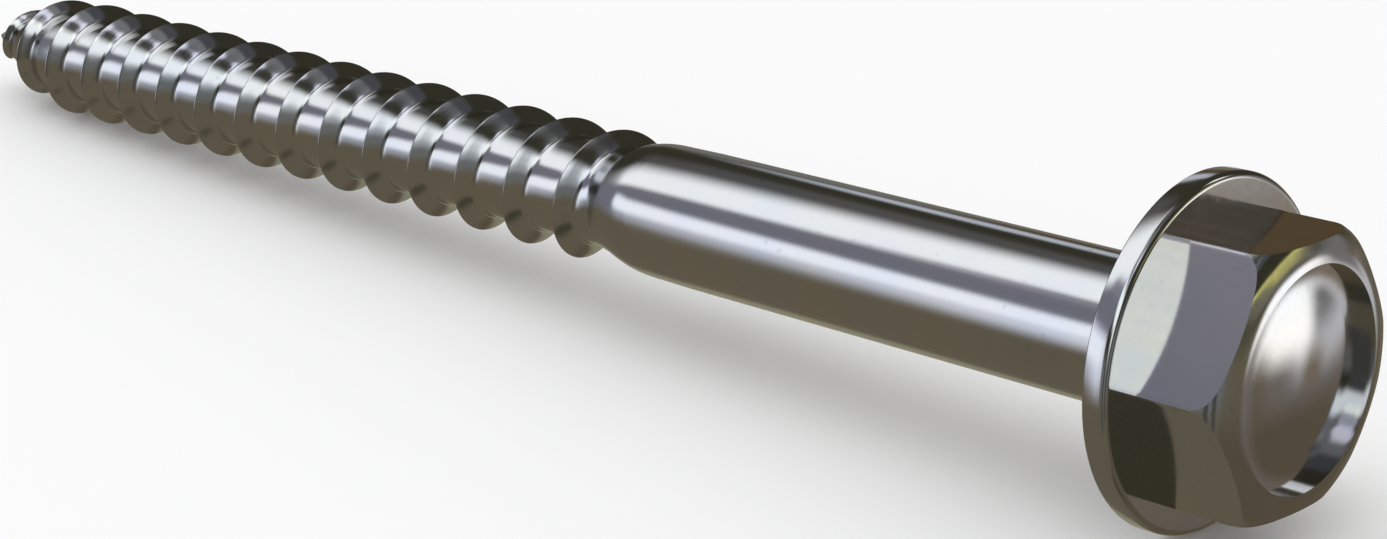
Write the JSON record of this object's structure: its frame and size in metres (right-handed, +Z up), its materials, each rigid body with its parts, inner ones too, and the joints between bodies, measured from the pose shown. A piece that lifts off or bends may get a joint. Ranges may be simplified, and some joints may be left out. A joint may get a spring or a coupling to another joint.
{
  "type": "lag screw",
  "caption": "Hex-head lag screw with an integral flange, a recessed crown, a plain shank, a coarse left-hand wood thread and a gimlet point.",
  "frame": {"origin": "on the ground under the middle of the screw's bounding box, with the screw lying on its side as it rests", "axes": "+X along the screw's length towards its head, +Y across it, +Z up; the screw's own axis rises towards the head by 3.2 degrees, because it lies on the flange's rim and on a crest near the point"},
  "size_m": [0.1386, 0.0228, 0.0228],
  "materials": {
    "steel": "bright zinc-plated steel, smooth and glossy with faint lengthwise marks"
  },
  "bodies": {
    "root": {"lag_screw": "steel"}
  },
  "joints": []
}
